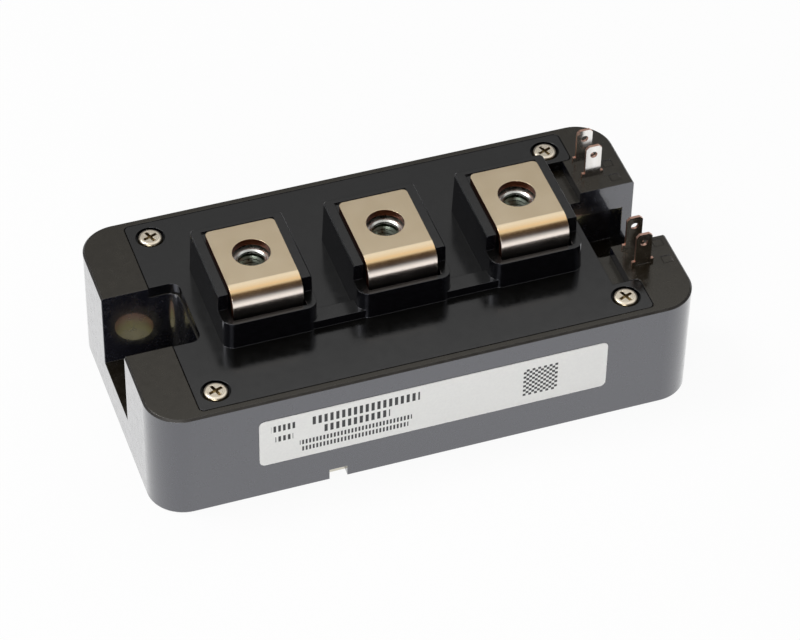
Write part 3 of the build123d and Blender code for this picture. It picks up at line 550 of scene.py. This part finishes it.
def thread(name, x, y, z0, z1):
    """Closed ridge inside a bore, from z0 to z1, all in metres."""
    turns = (z1 - z0) / (THREAD_PITCH * MM)
    rows = int(turns * STEPS)
    half = THREAD_PITCH * MM * 0.46
    root = (WALL_R + ROOT_INTO_WALL) * MM
    section = [(root, -half), (CREST_R * MM, 0.0), (root, half)]
    points, faces = [], []
    for row in range(rows + 1):
        angle = 2 * math.pi * row / STEPS
        rise = z0 + (z1 - z0) * row / rows
        for radius, dz in section:
            points.append((x + radius * math.cos(angle), y + radius * math.sin(angle), rise + dz))
    for row in range(rows):
        a, b = 3 * row, 3 * row + 3
        for i in range(3):
            j = (i + 1) % 3
            faces.append((a + i, a + j, b + j, b + i))
    faces.append((2, 1, 0))
    faces.append((3 * rows, 3 * rows + 1, 3 * rows + 2))
    mesh = bpy.data.meshes.new(name)
    mesh.from_pydata(points, [], faces)
    mesh.materials.append(thread_metal)
    ridge = bpy.data.objects.new(name, mesh)
    bpy.context.scene.collection.objects.link(ridge)
    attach(ridge, "root")
    return ridge


LAND_R = 2.85
SLOPE_R = 2.6
SLOPE_DEPTH = 0.25
THREAD_FLOOR = 0.7 * MM
THREAD_HEADROOM = 0.9 * MM


def lead_in(name, x, y, top):
    """Flat land and shallow funnel over the solid nut's steep chamfer."""
    foot = WALL_R + 0.02
    section = [(LAND_R, -0.01), (SLOPE_R, -0.03), (foot, -SLOPE_DEPTH), (foot, -0.6)]
    corners = len(section)
    points, faces = [], []
    for step in range(2 * STEPS):
        angle = math.pi * step / STEPS
        for radius, dz in section:
            out_x, out_y = radius * MM * math.cos(angle), radius * MM * math.sin(angle)
            points.append((x + out_x, y + out_y, top + dz * MM))
    for step in range(2 * STEPS):
        a, b = corners * step, corners * (step + 1) % (2 * corners * STEPS)
        for i in range(corners):
            j = (i + 1) % corners
            faces.append((a + i, b + i, b + j, a + j))
    mesh = bpy.data.meshes.new(name)
    mesh.from_pydata(points, [], faces)
    mesh.materials.append(nut_metal)
    funnel = bpy.data.objects.new(name, mesh)
    bpy.context.scene.collection.objects.link(funnel)
    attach(funnel, "root")
    return funnel


for side in ("left", "middle", "right"):
    low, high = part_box(f"nut_{side}")
    middle = (low + high) / 2
    lead_in(f"lead_in_{side}", middle.x, middle.y, high.z)
    bottom, ceiling = low.z + THREAD_FLOOR, high.z - THREAD_HEADROOM
    made = thread(f"thread_{side}", middle.x, middle.y, bottom, ceiling)
    print(made.name, len(made.data.polygons), "faces")

# %% [markdown]
# ## Floor, room and lamps
#
# The black skin is drawn by its surroundings, so the room comes before the lamps. A white floor
# is mirrored by the upright walls and turns them grey. The room is dim at the height where the
# lid's top mirrors it, and darkest above the camera's side, which gives the terminals their dark
# fold line. A low pale strip in front gives the folds their white band. One wide softbox hangs
# overhead, and a smaller key lamp and a fill in front bring the label and the floor to a plain
# level where a colour shows as it is written.
#
# The floor lies a hair below the part, so that no two faces share one plane. The room is pure
# white to the camera only and the floor nearly so, through Light Path. The white background then
# puts no extra light on the object, and the floor still keeps a soft shadow.

# %% Floor
FLOOR_GLOW = 0.93
mesh = bpy.data.meshes.new("floor")
reach = 3.0
gap = 0.02 * MM
corners = [(-reach, -reach, -gap), (reach, -reach, -gap), (reach, reach, -gap), (-reach, reach, -gap)]
mesh.from_pydata(corners, [], [(0, 1, 2, 3)])
floor = bpy.data.objects.new("floor", mesh)
bpy.context.scene.collection.objects.link(floor)
paper, tree, shader = surface("floor_paper", Roughness=0.9)
where = add(tree, "ShaderNodeTexCoord").outputs["Object"]
fibre = add(tree, "ShaderNodeTexNoise", {"Vector": where, "Scale": per_mm(2.0), "Detail": 2.0})
pale = {0: fibre.outputs["Fac"], 6: linear("#f4f4f4"), 7: linear("#f8f8f8")}
tone = add(tree, "ShaderNodeMix", pale, data_type="RGBA")
tree.links.new(tone.outputs[2], shader.inputs["Base Color"])
path = add(tree, "ShaderNodeLightPath").outputs
seen = {0: path["Is Camera Ray"], 1: path["Is Glossy Ray"]}
seen = add(tree, "ShaderNodeMath", seen, operation="MAXIMUM")
seen = {0: seen.outputs[0], 1: path["Is Transmission Ray"]}
seen = add(tree, "ShaderNodeMath", seen, operation="MAXIMUM")
share = add(tree, "ShaderNodeMath", {0: seen.outputs[0], 1: FLOOR_GLOW}, operation="MULTIPLY")
white = add(tree, "ShaderNodeEmission", {"Color": linear("#ffffff"), "Strength": 1.0})
layers = {0: share.outputs[0], 1: shader.outputs["BSDF"], 2: white.outputs["Emission"]}
both = add(tree, "ShaderNodeMixShader", layers)
tree.links.new(both.outputs["Shader"], tree.nodes["Material Output"].inputs["Surface"])
mesh.materials.append(paper)
print("floor", reach * 2, "m wide")

# %% Room
DARK_SIDE = (0.1, -0.70, 0.71)
world = bpy.data.worlds.new("room")
bpy.context.scene.world = world
world.use_nodes = True
tree = world.node_tree
sky = tree.nodes["Background"]
direction = add(tree, "ShaderNodeTexCoord").outputs["Generated"]
parts = add(tree, "ShaderNodeSeparateXYZ", {"Vector": direction})
level = add(tree, "ShaderNodeValToRGB", {"Fac": parts.outputs["Z"]})
ramp = level.color_ramp.elements
ramp[0].position, ramp[0].color = 0.5, linear("#454548")
ramp[1].position, ramp[1].color = 1.0, linear("#9a9a9a")
ramp.new(0.7).color = linear("#b6b6b6")
in_front = {"Value": parts.outputs["Y"], "From Min": -0.8, "From Max": -0.97}
in_front = add(tree, "ShaderNodeMapRange", in_front).outputs["Result"]
low_down = {"Value": parts.outputs["Z"], "From Min": 0.4, "From Max": 0.1}
low_down = add(tree, "ShaderNodeMapRange", low_down).outputs["Result"]
strip = add(tree, "ShaderNodeMath", {0: in_front, 1: low_down}, operation="MULTIPLY")
lit = {0: strip.outputs[0], 6: level.outputs["Color"], 7: linear("#dadada")}
lit = add(tree, "ShaderNodeMix", lit, data_type="RGBA").outputs[2]
toward = {0: direction, 1: DARK_SIDE}
toward = add(tree, "ShaderNodeVectorMath", toward, operation="DOT_PRODUCT").outputs["Value"]
dim = add(tree, "ShaderNodeMapRange", {"Value": toward, "From Min": 0.87, "From Max": 0.965})
dimmed = {0: dim.outputs["Result"], 6: lit, 7: linear("#301f0d")}
dimmed = add(tree, "ShaderNodeMix", dimmed, data_type="RGBA").outputs[2]
path = add(tree, "ShaderNodeLightPath").outputs
shown = {0: path["Is Camera Ray"], 6: dimmed, 7: linear("#ffffff")}
shown = add(tree, "ShaderNodeMix", shown, data_type="RGBA")
tree.links.new(shown.outputs[2], sky.inputs["Color"])
print("room ready")

# %% Lamps
def lamp(name, place, aim, width, depth, watts):
    """Rectangular area lamp that looks at a point; places in metres."""
    light = bpy.data.lights.new(name, "AREA")
    light.shape = "RECTANGLE"
    light.size, light.size_y, light.energy = width, depth, watts
    head = bpy.data.objects.new(name, light)
    head.location = place
    head.rotation_euler = (Vector(place) - Vector(aim)).to_track_quat("Z", "Y").to_euler()
    bpy.context.scene.collection.objects.link(head)
    print(name, "gives", round(watts / (math.pi * width * depth), 2), "W per square metre and steradian")


lamp("softbox", (0.0, 0.12, 0.62), (0.0, 0.12, 0.0), 1.2, 0.8, 1.6)
lamp("key", (-0.5, 0.2, 0.85), (0.0, 0.0, 0.0), 0.35, 0.35, 3.1)
lamp("fill", (-0.45, -0.8, 0.4), (0.0, 0.0, 0.01), 0.5, 0.5, 4.2)

# %% [markdown]
# ## Camera
#
# The view was fitted to the sizes of the solids: 20 degrees round to the left of the label, 44
# degrees above the floor, with a long lens and about one degree of tilt. The three axes of the
# camera are built from those angles and set as its matrix.

# %% Camera at the photograph's angle
AZIMUTH, ELEVATION, ROLL = math.radians(-19.682), math.radians(44.142), math.radians(1.129)
DISTANCE = 581.804 * MM
LENS = 156.75
level_share = math.cos(ELEVATION)
back = Vector((math.sin(AZIMUTH) * level_share, -math.cos(AZIMUTH) * level_share, math.sin(ELEVATION)))
target = Vector((1.256, -3.803, 12.2)) * MM
right = (-back).cross(Vector((0, 0, 1))).normalized()
up = right.cross(-back)
tilted = right * math.cos(ROLL) + up * math.sin(ROLL)
upright = up * math.cos(ROLL) - right * math.sin(ROLL)
camera = bpy.data.objects.new("camera", bpy.data.cameras.new("camera"))
camera.data.lens = LENS
camera.data.clip_start = 0.01
turned = Matrix((tilted, upright, back)).transposed().to_4x4()
camera.matrix_world = Matrix.Translation(target + back * DISTANCE) @ turned
bpy.context.scene.collection.objects.link(camera)
bpy.context.scene.camera = camera
bpy.context.scene.view_settings.view_transform = "Standard"
print("camera at", [round(v / MM) for v in camera.location])
